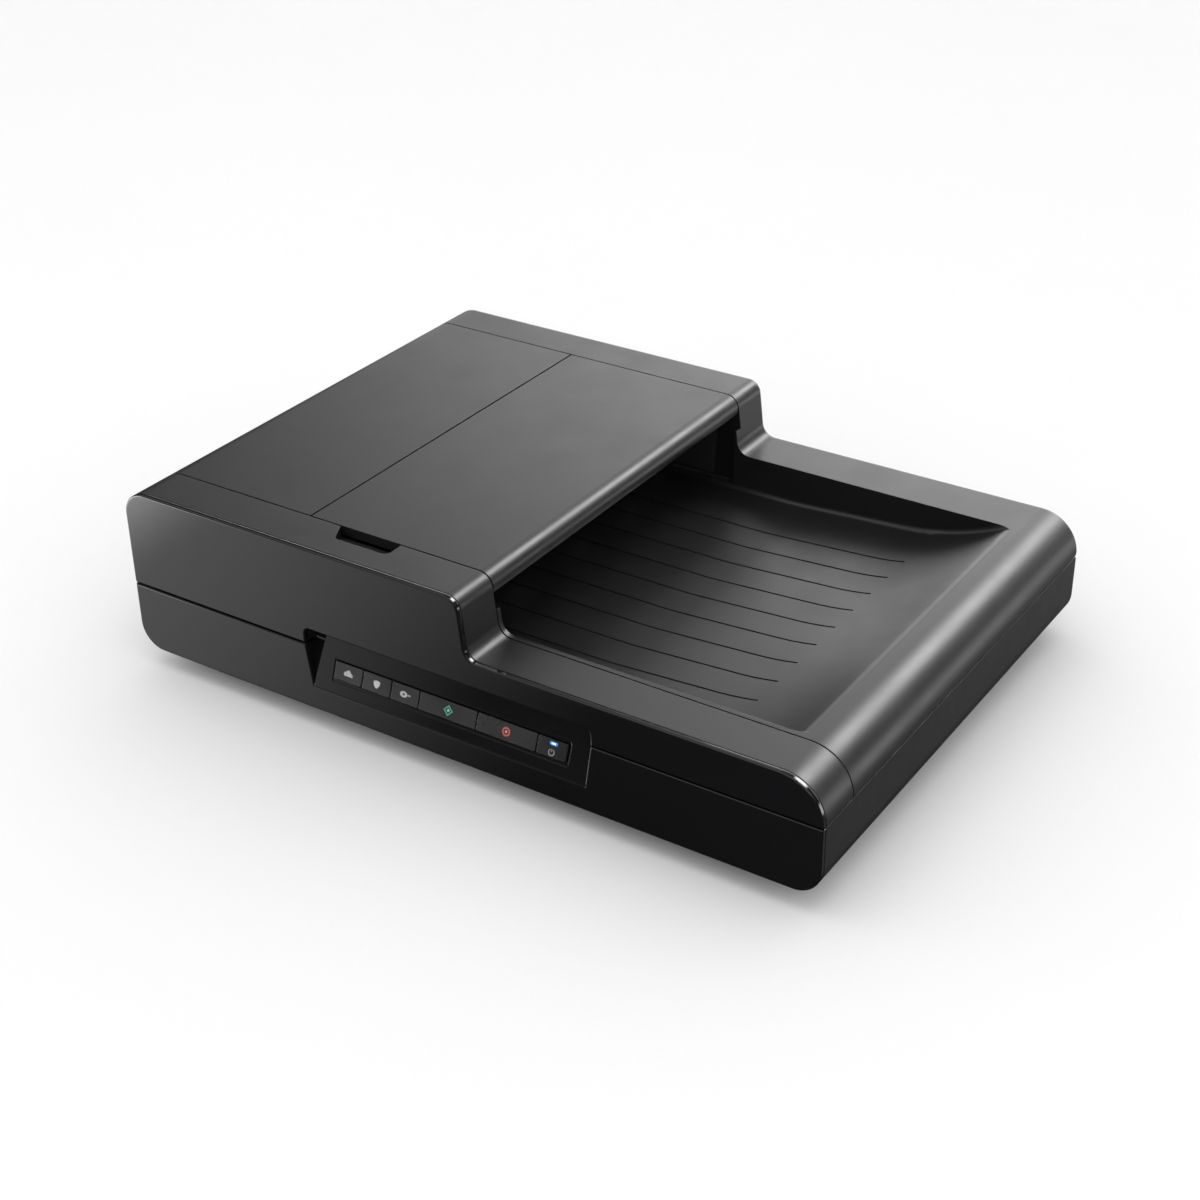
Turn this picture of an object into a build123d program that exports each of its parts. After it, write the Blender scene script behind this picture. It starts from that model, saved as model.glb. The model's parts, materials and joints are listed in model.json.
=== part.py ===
from build123d import *
import os
from math import asin, atan2, cos, degrees, hypot, pi, radians, sin, sqrt, tan

os.makedirs("parts", exist_ok=True)

# Sheet-fed document scanner with a flatbed under a hinged lid.
# Millimetres. +X to the right, -Y is the front with the buttons, +Z up.
# The origin is on the table, at the centre of the footprint.

WIDTH = 469.0
DEPTH = 335.0
HEIGHT = 120.0
HALF_W = WIDTH / 2
FRONT = -DEPTH / 2
REAR = DEPTH / 2

# levels
SKIRT = 13.0             # lower edge of the base walls
PAN = 4.0                # underside of the recessed pan that holds the feet
BASE_TOP = 56.0
LID_BOTTOM = 57.0
BORDER = 82.5            # top of the border around the output tray
GLASS_TOP = 50.0

# outline of the lid, seen from the front
CORNER_R = 16.0
STEP_X = 2.0             # the feeder block ends in a round corner here
STEP_R = 9.0
STEP_FOOT_X = 22.4
STEP_FOOT_R = 9.0
END_R = 25.5             # quarter round at the right-hand end
LID_WALL = 2.5
BASE_WALL = 3.0
RIM = 1.2                # the side walls narrow to this just below the lid
RIM_DEPTH = 3.0
BASE_CORNER_R = 16.0

EDGE_R = 0.9             # rounded edges of the glossy panels

# front to back
PANEL_BACK = -164.6      # back of the glossy front panels
SHELL_FRONT = -163.8     # front of the mouldings behind them
TRIM_BACK = -135.0       # back of the front strip
COVER_FRONT = -134.0
BAY_FRONT = -134.7       # feeder compartment between the two strips
BAY_REAR = 136.2
POCKET_FRONT = -131.0
POCKET_REAR = 130.6

# main hinge of the lid, at the bottom of a V groove
HINGE_Y = 163.0
HINGE_Z = 56.5
HINGE_X = 125.0
KNUCKLE_R = 3.2
PIN_R = 1.5
RUNNING = 0.05           # radial clearance of a running fit
PRESS_GAP = 0.02         # radial gap where a pin is held fast

# feeder cover and its hinge on the left-hand edge
COVER_RIGHT = -118.7
COVER_EDGE = 105.0
COVER_HINGE_X = -231.0
COVER_HINGE_Z = 104.5
COVER_KNUCKLES = (-100.0, 90.0)

# feed tray and its hinge inside the rolled edge
TRAY_LEFT = -117.5
TRAY_AXIS_X = 2.0
TRAY_AXIS_Z = 111.2
TRAY_ROLL_R = 8.8
TRAY_PIVOT_R = 2.5
TRAY_FRONT = -133.8
TRAY_REAR = 135.2

# paper path, x and z of each roller axis and its radius
TURN = (-195.0, 82.0)
TURN_R = 14.0
FEED = (-150.0, 98.0)
FEED_R = 11.0
PICK = (-123.0, 98.5)
PICK_R = 8.0
RETARD = (-147.0, 76.6)
RETARD_R = 10.0
EXIT = (-50.0, 70.0)
EXIT_R = 6.0
EXIT_IDLER = (-50.0, 82.0)
EXIT_IDLER_R = 5.7
SHAFT_R = 3.0
BUSH_R = 5.0
SHAFT_HOLE_R = 5.5       # where a shaft passes freely through a wall
THIN_SHAFT_R = 2.0
PLATE_FRONT = (-134.0, -131.0)
PLATE_REAR = (133.0, 136.0)

# feeder gears, module 1, in the bay behind the rear plate
FEEDER_MODULE = 1.0
TURN_TEETH = 36
FEED_TEETH = 24
PINION_TEETH = 12
IDLER_TEETH = 16
GEAR_Y = (141.0, 148.0)
PINION_DIRECTION = radians(-10)

# flatbed carriage
RAIL_Y = -20.0
RAIL_Z = 30.0
RAIL_R = 4.0
CARRIAGE_X = -180.0
BELT_X = 209.0
BELT_Y = 70.0
PULLEY_R = 6.0
BELT_GAP = 0.4           # between a belt and its pulleys
CARRIAGE_GEAR_Z = 18.5
CARRIAGE_MODULE = 0.8
DRIVE_TEETH = 36
MOTOR_TEETH = 12

# control panel in its recess
RECESS_LEFT = -101.0
RECESS_RIGHT = 95.5
RECESS_BOTTOM_LEFT = -97.0
RECESS_BOTTOM_RIGHT = 91.5
RECESS_TOP = 67.0
SLANT_FOOT = (FRONT, 29.0)
SLANT_HEAD = (-156.0, 60.5)
SLANT_LENGTH = hypot(SLANT_HEAD[0] - SLANT_FOOT[0], SLANT_HEAD[1] - SLANT_FOOT[1])
BUTTON_LOW = 8.5
BUTTON_HIGH = 20.0
BUTTON_GAP = 0.45        # round each button, to the edge of the slot or half way to its neighbour
BUTTON_CORNER_R = 1.6    # right-hand corners of the row
LEDGE_LOW = 6.8          # shallow ledge that the row of buttons stands in
LEDGE_HIGH = 20.9
LEDGE_SIDE = 1.0
LEDGE_DEPTH = 0.5
BUTTONS = {
    "job_button_1": (-84.0, -63.5),
    "job_button_2": (-63.5, -42.8),
    "job_button_3": (-42.8, -22.8),
    "start_button": (-22.8, 17.2),
    "stop_button": (17.2, 57.8),
    "power_button": (57.8, 78.0),
}
ROW_LEFT = -84.0
ROW_RIGHT = 78.0


def save(builder, name):
    builder.part.label = name
    export_step(builder.part, f"parts/{name}.step")


def across(y):
    """Front-view plane at depth y: sketch x is +X, sketch y is +Z, extrusion goes towards -Y."""
    return Plane.XZ.offset(-y)


def bar(x, y, z, mode=Mode.ADD):
    """Block between two limits on each axis."""
    with Locations(((x[0] + x[1]) / 2, (y[0] + y[1]) / 2, (z[0] + z[1]) / 2)):
        Box(x[1] - x[0], y[1] - y[0], z[1] - z[0], mode=mode)


def rod_y(at, radius, y, mode=Mode.ADD):
    """Cylinder along Y at (x, z)."""
    with Locations((at[0], (y[0] + y[1]) / 2, at[1])):
        Cylinder(radius, y[1] - y[0], rotation=(90, 0, 0), mode=mode)


def rod_x(y, z, radius, x, mode=Mode.ADD):
    """Cylinder along X."""
    with Locations(((x[0] + x[1]) / 2, y, z)):
        Cylinder(radius, x[1] - x[0], rotation=(0, 90, 0), mode=mode)


def rod_z(x, y, radius, z, mode=Mode.ADD):
    """Cylinder along Z."""
    with Locations((x, y, (z[0] + z[1]) / 2)):
        Cylinder(radius, z[1] - z[0], mode=mode)


def lid_section(inset=0.0, bottom=LID_BOTTOM):
    """Outline of the lid seen from the front, moved inwards by inset."""
    corner = (-HALF_W + CORNER_R, HEIGHT - CORNER_R)
    shoulder = (STEP_X, HEIGHT - STEP_R)
    foot = (STEP_FOOT_X, BORDER + STEP_FOOT_R)
    span = hypot(foot[0] - shoulder[0], foot[1] - shoulder[1])
    fall = atan2(foot[1] - shoulder[1], foot[0] - shoulder[0]) - asin((STEP_R + STEP_FOOT_R) / span)
    lean = 90 + degrees(fall)
    left = -HALF_W + inset
    right = HALF_W - inset
    floor = [(right, bottom), (left, bottom), (left, corner[1])]
    if bottom < LID_BOTTOM:
        floor.insert(0, (right, LID_BOTTOM))
    with BuildLine() as outline:
        CenterArc(corner, CORNER_R - inset, 90, 90)
        Line((corner[0], HEIGHT - inset), (STEP_X, HEIGHT - inset))
        upper = CenterArc(shoulder, STEP_R - inset, lean, 90 - lean)
        lower = CenterArc(foot, STEP_FOOT_R + inset, 180 + lean, 90 - lean)
        Line(upper @ 0, lower @ 0)
        Line((foot[0], BORDER - inset), (HALF_W - END_R, BORDER - inset))
        CenterArc((HALF_W - END_R, LID_BOTTOM), END_R - inset, 0, 90)
        Polyline(*floor)
    make_face(outline.edges())


def base_section(inset=0.0, top=BASE_TOP):
    """Outline of the base seen from the front: square above, round below."""
    with Locations((0, (SKIRT + inset + top) / 2)):
        Rectangle(WIDTH - 2 * inset, top - SKIRT - inset)
    fillet(vertices().group_by(Axis.Y)[0], BASE_CORNER_R - inset)


def gear_outline(teeth, module, phase=0.0, backlash=0.12):
    """Involute gear in the sketch, centred on the sketch's origin, a tooth at angle phase."""
    pitch = teeth * module / 2
    base = pitch * cos(radians(20))
    tip = pitch + 0.95 * module
    root = pitch - 1.2 * module
    flat = pi / (2 * teeth) - backlash / (2 * pitch) + tan(radians(20)) - radians(20)
    start = max(base, root + 0.05)
    radii = [start + (tip - start) * step / 4 for step in range(5)]
    flank = [(r, flat - (sqrt((r / base) ** 2 - 1) - atan2(sqrt((r / base) ** 2 - 1), 1))) for r in radii]
    points = []
    for tooth in range(teeth):
        middle = phase + 2 * pi * tooth / teeth
        root_angle = flank[0][1]
        points.append((root, middle - root_angle))
        points.extend((r, middle - a) for r, a in flank)
        points.extend((r, middle + a) for r, a in reversed(flank))
        points.append((root, middle + root_angle))
    with BuildLine() as outline:
        Polyline(*[(r * cos(a), r * sin(a)) for r, a in points], close=True)
    make_face(outline.edges())


def toothed_disc(plane, centre, teeth, module, phase, thickness):
    """Gear standing on a plane, with its axis at centre."""
    with BuildSketch() as teeth_sketch:
        gear_outline(teeth, module, phase)
    with BuildSketch(plane) as placed:
        with Locations(centre):
            add(teeth_sketch.sketch)
    extrude(placed.sketch, amount=thickness)


def mesh_phase(centre_a, centre_b, teeth_a, teeth_b, phase_a=0.0):
    """Phase of gear b so that it meshes with gear a at rest."""
    direction = atan2(centre_b[1] - centre_a[1], centre_b[0] - centre_a[0])
    part_a = (direction - phase_a) * teeth_a / (2 * pi)
    return direction + pi - (0.5 - part_a) * 2 * pi / teeth_b


def meeting_point(a, b, reach_a, reach_b):
    """Point at reach_a from a and reach_b from b, on the right-hand side of a to b."""
    span = hypot(b[0] - a[0], b[1] - a[1])
    ux = (b[0] - a[0]) / span
    uz = (b[1] - a[1]) / span
    along = (reach_a ** 2 - reach_b ** 2 + span ** 2) / (2 * span)
    aside = sqrt(reach_a ** 2 - along ** 2)
    return (a[0] + along * ux + aside * uz, a[1] + along * uz - aside * ux)


def groove(points, y, mode=Mode.SUBTRACT):
    """Prism of a front-view outline between two depths."""
    with BuildSketch(across(y[1])) as outline:
        with BuildLine():
            Polyline(*points, close=True)
        make_face()
    extrude(outline.sketch, amount=y[1] - y[0], mode=mode)


def side_prism(points, x, mode=Mode.ADD):
    """Prism of a side-view outline (y, z) between two x limits."""
    with BuildSketch(Plane.YZ.offset(x[0])) as outline:
        with BuildLine():
            Polyline(*points, close=True)
        make_face()
    extrude(outline.sketch, amount=x[1] - x[0], mode=mode)


# ---------------------------------------------------------------- base

FEET = [(-185, -120), (185, -120), (-185, 130), (185, 130)]
SCREWS = [(-215, -140), (215, -140), (-215, 140), (215, 140)]
WINDOW_X = (-152.0, 152.0)
WINDOW_Y = (-112.0, 112.0)
FRAME_X = (-231.0, 231.0)
FRAME_Y = (-160.4, 156.0)
PANEL_NOTCH_X = (RECESS_LEFT - 0.5, RECESS_RIGHT + 0.5)
PORT_X = (118.0, 172.0)
PORT_Z = (20.0, 34.0)
JACK_X = 160.0
JACK_Z = 27.0
JACK_R = 2.85
JACK_DEPTH = 7.0
PORT_FACE_Y = REAR - 1.0
VENT_PITCH = 4.0         # cooling slots in the rear wall

with BuildPart() as base_shell:
    with BuildSketch(across(REAR)):
        base_section()
    extrude(amount=REAR - SHELL_FRONT)
    back = base_shell.faces().sort_by(Axis.Y)[-1]
    fillet(back.edges().filter_by(lambda e: e.center().Z < BASE_TOP - 0.1), 4)
    with BuildSketch(across(REAR - BASE_WALL)):
        base_section(BASE_WALL, BASE_TOP + 5)
    extrude(amount=REAR - 2 * BASE_WALL - SHELL_FRONT, mode=Mode.SUBTRACT)
    bar((RIM - HALF_W, HALF_W - RIM), (SHELL_FRONT - 1, REAR - BASE_WALL),
        (BASE_TOP - RIM_DEPTH, BASE_TOP + 1), Mode.SUBTRACT)
    with BuildSketch(Plane.XY.offset(PAN)):
        with Locations((0, 5)):
            RectangleRounded(410, 280, 14)
    extrude(amount=SKIRT - PAN)
    for x, y in FEET:
        rod_z(x, y, 9.1, (PAN, PAN + 1.5), Mode.SUBTRACT)
    for x, y in SCREWS:
        rod_z(x, y, 5, (SKIRT + 2, GLASS_TOP - 3))
        rod_z(x, y, PIN_R + 0.1, (SKIRT, GLASS_TOP), Mode.SUBTRACT)
        rod_z(x, y, 3.6, (SKIRT, SKIRT + 2.2), Mode.SUBTRACT)
    bar(PANEL_NOTCH_X, (SHELL_FRONT - 1, -158.0), (27.5, BASE_TOP + 1), Mode.SUBTRACT)
    bar(PORT_X, (REAR - 5, REAR + 1), PORT_Z, Mode.SUBTRACT)
    side_prism([(HINGE_Y, BASE_TOP), (REAR + 1, BASE_TOP), (REAR + 1, BASE_TOP - 5.5)],
               (-HALF_W, HALF_W), Mode.SUBTRACT)
    for side in (-1, 1):
        middle = side * HINGE_X
        rod_x(HINGE_Y, HINGE_Z, KNUCKLE_R + 0.6, (middle - 16, middle + 16), Mode.SUBTRACT)
    for level in range(6):
        for side in (-1, 1):
            middle = side * 60 - 20
            slot_z = 22 + level * VENT_PITCH
            bar((middle - 22, middle + 22), (REAR - 5, REAR + 1), (slot_z, slot_z + 1.8), Mode.SUBTRACT)

save(base_shell, "base_shell")

with BuildPart() as base_front_panel:
    with BuildSketch(across(PANEL_BACK)):
        base_section()
    extrude(amount=PANEL_BACK - FRONT)
    groove([(RECESS_BOTTOM_LEFT, SLANT_FOOT[1]), (RECESS_BOTTOM_RIGHT, SLANT_FOOT[1]),
            (RECESS_RIGHT, BASE_TOP + 1), (RECESS_LEFT, BASE_TOP + 1)], (FRONT - 1, PANEL_BACK + 1))
    face = base_front_panel.faces().sort_by(Axis.Y)[0]
    fillet(face.edges(), EDGE_R)

save(base_front_panel, "base_front_panel")

with BuildPart() as base_top_frame:
    bar(FRAME_X, FRAME_Y, (GLASS_TOP - 3, GLASS_TOP))
    bar((WINDOW_X[0], WINDOW_X[1]), WINDOW_Y, (GLASS_TOP - 4, GLASS_TOP + 1), Mode.SUBTRACT)
    bar(PANEL_NOTCH_X, (FRAME_Y[0] - 1, -150.0), (GLASS_TOP - 4, GLASS_TOP + 1), Mode.SUBTRACT)
    for x, y in SCREWS:
        rod_z(x, y, PIN_R + 0.1, (GLASS_TOP - 4, GLASS_TOP - 0.8), Mode.SUBTRACT)

save(base_top_frame, "base_top_frame")

with BuildPart() as platen_glass:
    bar((WINDOW_X[0] + 0.2, WINDOW_X[1] - 0.2), (WINDOW_Y[0] + 0.2, WINDOW_Y[1] - 0.2),
        (GLASS_TOP - 2.8, GLASS_TOP))

save(platen_glass, "platen_glass")

with BuildPart() as rubber_feet:
    for x, y in FEET:
        rod_z(x, y, 9, (0, PAN + 1.5))
    fillet(rubber_feet.faces().group_by(Axis.Z)[0].edges(), 1.2)

save(rubber_feet, "rubber_feet")

with BuildPart() as base_screws:
    for x, y in SCREWS:
        rod_z(x, y, PIN_R, (SKIRT, GLASS_TOP - 1))
        rod_z(x, y, 3.4, (SKIRT + 0.2, SKIRT + 2.2))
        rod_z(x, y, 1.2, (SKIRT, SKIRT + 1.2), Mode.SUBTRACT)

save(base_screws, "base_screws")

slant_along = ((SLANT_HEAD[0] - SLANT_FOOT[0]) / SLANT_LENGTH,
               (SLANT_HEAD[1] - SLANT_FOOT[1]) / SLANT_LENGTH)
slant_normal = (-slant_along[1], slant_along[0])
slant_plane = Plane(origin=(0, SLANT_FOOT[0], SLANT_FOOT[1]), x_dir=(1, 0, 0),
                    z_dir=(0, slant_normal[0], slant_normal[1]))
PANEL_THICK = 2.5


def slant_sketch(x, rise, corner=0.0, lift=0.0):
    """Rectangle on the slanted face, lifted above it, with its right-hand corners rounded."""
    with BuildSketch(slant_plane.offset(lift)) as outline:
        with Locations(((x[0] + x[1]) / 2, (rise[0] + rise[1]) / 2)):
            Rectangle(x[1] - x[0], rise[1] - rise[0])
        if corner > 0:
            fillet(vertices().group_by(Axis.X)[-1], corner)
    return outline.sketch


with BuildPart() as control_panel:
    inner_foot = (SLANT_FOOT[0] - slant_normal[0] * PANEL_THICK,
                  SLANT_FOOT[1] - slant_normal[1] * PANEL_THICK)
    side_prism([SLANT_FOOT, SLANT_HEAD, (-152.8, SLANT_HEAD[1]), (-152.8, 52.0),
                (SLANT_HEAD[0] + 0.2, 52.0), inner_foot], (RECESS_LEFT, RECESS_RIGHT))
    cheek_foot = 3.2 / (SLANT_HEAD[0] - SLANT_FOOT[0]) * (SLANT_HEAD[1] - SLANT_FOOT[1]) + SLANT_FOOT[1]
    for x in ((RECESS_LEFT, RECESS_LEFT + 1.5), (RECESS_RIGHT - 1.5, RECESS_RIGHT)):
        side_prism([(PANEL_BACK, cheek_foot), (PANEL_BACK, BASE_TOP), (-157.0, BASE_TOP), (-156.5, 50)], x)
    bar((RECESS_LEFT, RECESS_BOTTOM_LEFT), (FRONT - 1, PANEL_BACK), (20, 56), Mode.SUBTRACT)
    bar((RECESS_BOTTOM_RIGHT, RECESS_RIGHT), (FRONT - 1, PANEL_BACK), (20, 56), Mode.SUBTRACT)
    bar((RECESS_LEFT, RECESS_RIGHT), (FRONT - 1, SHELL_FRONT + 1), (20, SLANT_FOOT[1]), Mode.SUBTRACT)
    ledge = slant_sketch((ROW_LEFT - LEDGE_SIDE, ROW_RIGHT + LEDGE_SIDE), (LEDGE_LOW, LEDGE_HIGH),
                         BUTTON_CORNER_R)
    extrude(ledge, amount=LEDGE_DEPTH, both=True, mode=Mode.SUBTRACT)
    slot = slant_sketch((ROW_LEFT, ROW_RIGHT), (BUTTON_LOW, BUTTON_HIGH), BUTTON_CORNER_R)
    extrude(slot, amount=6, both=True, mode=Mode.SUBTRACT)

save(control_panel, "control_panel")

for name, (low, high) in BUTTONS.items():
    corner = BUTTON_CORNER_R - BUTTON_GAP if high == ROW_RIGHT else 0.0
    with BuildPart() as button:
        face = slant_sketch((low + BUTTON_GAP, high - BUTTON_GAP),
                            (BUTTON_LOW + BUTTON_GAP, BUTTON_HIGH - BUTTON_GAP), corner, 0.7)
        extrude(face, amount=-3.4)
        fillet(button.faces().sort_by(Axis.Y)[0].edges(), 0.5)
    save(button, name)

with BuildPart() as control_board:
    with BuildSketch(slant_plane.offset(-6.5)):
        with Locations((-3, 15)):
            Rectangle(180, 20)
    extrude(amount=-1.6)

save(control_board, "control_board")

with BuildPart() as main_board:
    bar((100, 205), (95, 156), (22, 23.6))
    bar((120, 145), (110, 135), (23.6, 26))
    bar((160, 175), (105, 125), (23.6, 26))
    for x in (180, 190):
        rod_z(x, 140, 4, (23.6, 34))

save(main_board, "main_board")

with BuildPart() as rear_ports:
    bar((PORT_X[0] + 0.2, PORT_X[1] - 0.2), (REAR - 10, PORT_FACE_Y), (PORT_Z[0] + 0.2, PORT_Z[1] - 0.2))
    rod_y((JACK_X, JACK_Z), JACK_R, (PORT_FACE_Y - JACK_DEPTH, REAR), Mode.SUBTRACT)
    bar((127, 139), (PORT_FACE_Y - JACK_DEPTH, REAR), (22, 32), Mode.SUBTRACT)
    bar((129.5, 136.5), (PORT_FACE_Y - JACK_DEPTH, REAR - 3), (26, 28.5))

save(rear_ports, "rear_ports")

with BuildPart() as base_hinge_leaves:
    for side in (-1, 1):
        for offset_x in (-12.5, 12.5):
            middle = side * HINGE_X + offset_x
            rod_x(HINGE_Y, HINGE_Z, KNUCKLE_R, (middle - 2.5, middle + 2.5))
            bar((middle - 2.5, middle + 2.5), (HINGE_Y - KNUCKLE_R, HINGE_Y + 1.4), (34, HINGE_Z))
            rod_x(HINGE_Y, HINGE_Z, PIN_R + PRESS_GAP, (middle - 3, middle + 3), Mode.SUBTRACT)

save(base_hinge_leaves, "base_hinge_leaves")

with BuildPart() as hinge_pins:
    for side in (-1, 1):
        rod_x(HINGE_Y, HINGE_Z, PIN_R, (side * HINGE_X - 15.5, side * HINGE_X + 15.5))

save(hinge_pins, "hinge_pins")

# ---------------------------------------------------------------- flatbed carriage

with BuildPart() as carriage_rail:
    rod_x(RAIL_Y, RAIL_Z, RAIL_R, (-217, 217))
    for side in (-1, 1):
        bar((side * 215 - 2, side * 215 + 2), (RAIL_Y - 8, RAIL_Y + 8), (SKIRT + BASE_WALL, 38))

save(carriage_rail, "carriage_rail")

with BuildPart() as carriage_frame:
    bar((CARRIAGE_X - 14, CARRIAGE_X + 14), (-118, 118), (27, 37.5))
    bar((CARRIAGE_X - 10, CARRIAGE_X + 10), (-118, -30), (26, 33), Mode.SUBTRACT)
    bar((CARRIAGE_X - 10, CARRIAGE_X + 10), (-10, 55), (26, 33), Mode.SUBTRACT)
    bar((CARRIAGE_X - 15, CARRIAGE_X + 15), (BELT_Y - 10, BELT_Y + 10), (26, 32), Mode.SUBTRACT)
    bar((CARRIAGE_X - 8, CARRIAGE_X + 8), (BELT_Y - 3.2, BELT_Y - 1), (24, 33))
    rod_x(RAIL_Y, RAIL_Z, 7.5, (CARRIAGE_X - 14, CARRIAGE_X + 14))
    rod_x(RAIL_Y, RAIL_Z, 6, (CARRIAGE_X - 15, CARRIAGE_X + 15), Mode.SUBTRACT)

save(carriage_frame, "carriage_frame")

with BuildPart() as carriage_bush:
    rod_x(RAIL_Y, RAIL_Z, 6, (CARRIAGE_X - 14, CARRIAGE_X + 14))
    rod_x(RAIL_Y, RAIL_Z, RAIL_R + RUNNING, (CARRIAGE_X - 15, CARRIAGE_X + 15), Mode.SUBTRACT)

save(carriage_bush, "carriage_bush")

with BuildPart() as image_sensor_bar:
    bar((CARRIAGE_X - 9, CARRIAGE_X + 9), (-114, 114), (37.6, 45.6))
    bar((CARRIAGE_X - 2, CARRIAGE_X + 2), (-110, 110), (44.8, 46), Mode.SUBTRACT)

save(image_sensor_bar, "image_sensor_bar")

drive_centre = (-BELT_X, BELT_Y)
motor_centre = (-BELT_X, BELT_Y + CARRIAGE_MODULE * (DRIVE_TEETH + MOTOR_TEETH) / 2)



def belt_pulley(centre):
    """Flanged pulley of the carriage belt on its upright pin."""
    rod_z(*centre, PULLEY_R - BELT_GAP, (22.5, 31))
    rod_z(*centre, PULLEY_R + 1.5, (22.5, 23.3))
    rod_z(*centre, PULLEY_R + 1.5, (30.2, 31))
    rod_z(*centre, THIN_SHAFT_R, (16.5, 36))


with BuildPart() as carriage_drive_gear:
    toothed_disc(Plane.XY.offset(CARRIAGE_GEAR_Z), drive_centre, DRIVE_TEETH, CARRIAGE_MODULE, 0, 4)
    belt_pulley(drive_centre)

save(carriage_drive_gear, "carriage_drive_gear")

with BuildPart() as carriage_idler_pulley:
    belt_pulley((BELT_X, BELT_Y))

save(carriage_idler_pulley, "carriage_idler_pulley")

with BuildPart() as carriage_motor_pinion:
    toothed_disc(Plane.XY.offset(CARRIAGE_GEAR_Z), motor_centre, MOTOR_TEETH, CARRIAGE_MODULE,
                 mesh_phase(drive_centre, motor_centre, DRIVE_TEETH, MOTOR_TEETH), 4)
    rod_z(*motor_centre, PIN_R, (CARRIAGE_GEAR_Z, 28))

save(carriage_motor_pinion, "carriage_motor_pinion")

with BuildPart() as carriage_motor:
    rod_z(*motor_centre, 10.5, (23.5, 42))
    bar((motor_centre[0] - 14, motor_centre[0] + 14), (motor_centre[1] - 8, motor_centre[1] + 8), (24, 25.2))
    rod_z(*motor_centre, PIN_R + RUNNING, (23, 30), Mode.SUBTRACT)

save(carriage_motor, "carriage_motor")

with BuildPart() as carriage_belt:
    with BuildSketch(Plane.XY.offset(24)):
        with Locations((0, BELT_Y)):
            SlotCenterToCenter(2 * BELT_X, 2 * PULLEY_R + 2)
            SlotCenterToCenter(2 * BELT_X, 2 * PULLEY_R, mode=Mode.SUBTRACT)
    extrude(amount=5.5)

save(carriage_belt, "carriage_belt")

# ---------------------------------------------------------------- lid

POCKET_WALL = 2.2
POCKET_FOOT_R = 3.5
POCKET_LEFT = -100.0
FLOOR_Z = 57.6           # the floor is level under the feeder
FLOOR_BEND_X = 58.0      # then it climbs gently towards the right
FLOOR_BEND_R = 250.0
FLOOR_SLOPE = radians(3.36)
RAMP_X = 130.0           # and curves up to the border
RAMP_R = 175.0
CROWN_R = 12.0           # round crest where it meets the border
CROWN_RISE = 0.15        # top of the crest above the border, so that they meet at a clear angle


def turned(centre, radius, angle):
    """Point below a centre, turned by an angle towards +X."""
    return (centre[0] + radius * sin(angle), centre[1] - radius * cos(angle))


def output_pocket(grow):
    """Hollow of the output tray, grown outwards by the thickness of its wall."""
    bend = FLOOR_BEND_R * tan(FLOOR_SLOPE / 2)
    bend_centre = (FLOOR_BEND_X - bend, FLOOR_Z + FLOOR_BEND_R)
    ramp_foot = (RAMP_X, FLOOR_Z + (RAMP_X - FLOOR_BEND_X) * tan(FLOOR_SLOPE))
    ramp_centre = turned(ramp_foot, -RAMP_R, FLOOR_SLOPE)
    crown_z = BORDER + CROWN_RISE - CROWN_R
    reach = sqrt((RAMP_R + CROWN_R) ** 2 - (ramp_centre[1] - crown_z) ** 2)
    crown = (ramp_centre[0] + reach, crown_z)
    steepest = degrees(atan2(reach, ramp_centre[1] - crown_z))
    slope = degrees(FLOOR_SLOPE)
    with BuildPart() as hollow:
        with BuildSketch(across(POCKET_REAR + grow)):
            with BuildLine():
                level = Line((POCKET_LEFT, FLOOR_Z - grow), (bend_centre[0], FLOOR_Z - grow))
                bent = CenterArc(bend_centre, FLOOR_BEND_R + grow, 270, slope)
                ramp = CenterArc(ramp_centre, RAMP_R + grow, 270 + slope, steepest - slope)
                Line(bent @ 1, ramp @ 0)
                crest = CenterArc(crown, CROWN_R - grow, 90, steepest)
                run_out = Line(crest @ 0, (crest @ 0) + Vector(15, 0))
                end = run_out @ 1
                Polyline(end, (end.X, HEIGHT + 5), (POCKET_LEFT, HEIGHT + 5), level @ 0)
            make_face()
        extrude(amount=POCKET_REAR - POCKET_FRONT + 2 * grow)
        for face in (hollow.faces().sort_by(Axis.Y)[0], hollow.faces().sort_by(Axis.Y)[-1]):
            low_edges = face.edges().filter_by(lambda e: e.center().Z < BORDER + 15)
            fillet(low_edges, POCKET_FOOT_R + grow)
    return hollow.part


pocket = output_pocket(0)
pocket_shell = output_pocket(POCKET_WALL)
SHAFT_HOLES = (TURN, FEED, EXIT)
GROOVE_PITCH = 22.5
GROOVE_MIDDLE = -3.0
GROOVE_HALF = 0.7
GROOVE_X = (-60.0, 155.0)
SUNK_X = (POCKET_LEFT - 2, 95.0)    # here the floor dips below the lid's lower edge
pinion_centre = (TURN[0] + FEEDER_MODULE * (TURN_TEETH + PINION_TEETH) / 2 * cos(PINION_DIRECTION),
                 TURN[1] + FEEDER_MODULE * (TURN_TEETH + PINION_TEETH) / 2 * sin(PINION_DIRECTION))
idler_centre = meeting_point(pinion_centre, FEED, FEEDER_MODULE * (PINION_TEETH + IDLER_TEETH) / 2,
                             FEEDER_MODULE * (IDLER_TEETH + FEED_TEETH) / 2)

with BuildPart() as floor_grooves:
    for number in range(-4, 5):
        groove_y = GROOVE_MIDDLE + number * GROOVE_PITCH
        bar(GROOVE_X, (groove_y - GROOVE_HALF, groove_y + GROOVE_HALF), (FLOOR_Z - 1, FLOOR_Z + 12))
    add(output_pocket(GROOVE_HALF), mode=Mode.INTERSECT)

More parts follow.
